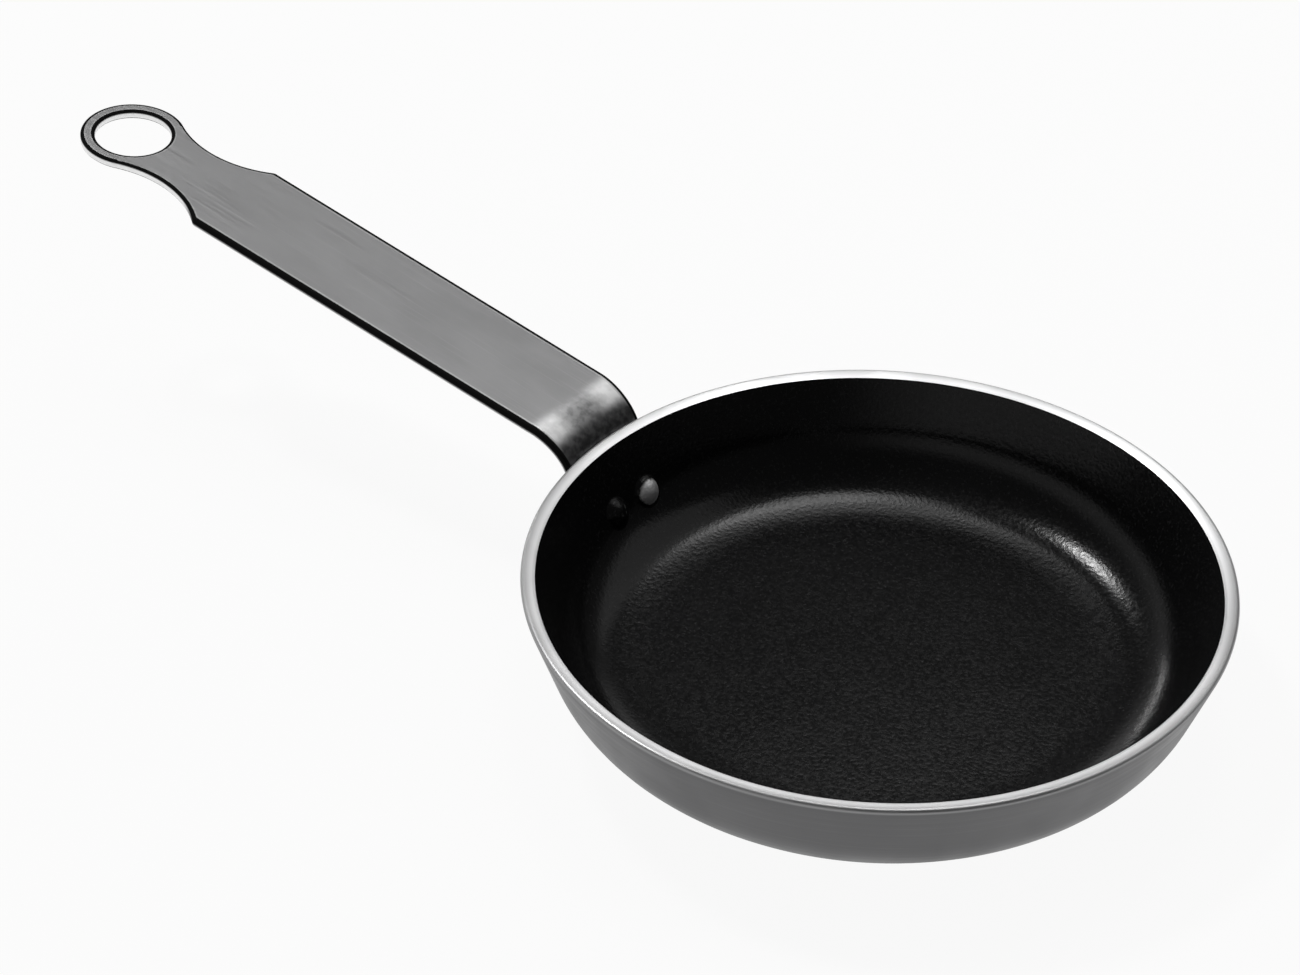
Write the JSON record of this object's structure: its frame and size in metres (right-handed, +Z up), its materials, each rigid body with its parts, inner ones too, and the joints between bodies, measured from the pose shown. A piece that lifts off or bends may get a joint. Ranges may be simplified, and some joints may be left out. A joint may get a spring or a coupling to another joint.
{
  "type": "blini pan",
  "caption": "Small low round frying pan with sloped wall, bare rim and black non-stick inside; a flat bent strip handle with hanging eye is riveted on for lifting and turning small pancakes.",
  "frame": {"origin": "centre of the flat underside of the pan", "axes": "+Z up along the pan's axis, handle along -X, the rivets spaced along Y"},
  "size_m": [0.2468, 0.1196, 0.0448],
  "materials": {
    "body_aluminium": "satin, with fine turning marks round the wall and bare metal on the rim",
    "nonstick_coat": "black non-stick coat with a soft sheen and a fine grain",
    "handle_steel": "satin rolled strip, rubbed bright along its edges",
    "rivet_metal": "satin, with the heads inside the pan coated black and worn bright on top"
  },
  "bodies": {
    "root": {"pan_body": "body_aluminium", "nonstick_lining": "nonstick_coat", "handle": "handle_steel", "rivet_left": "rivet_metal", "rivet_right": "rivet_metal"}
  },
  "joints": []
}
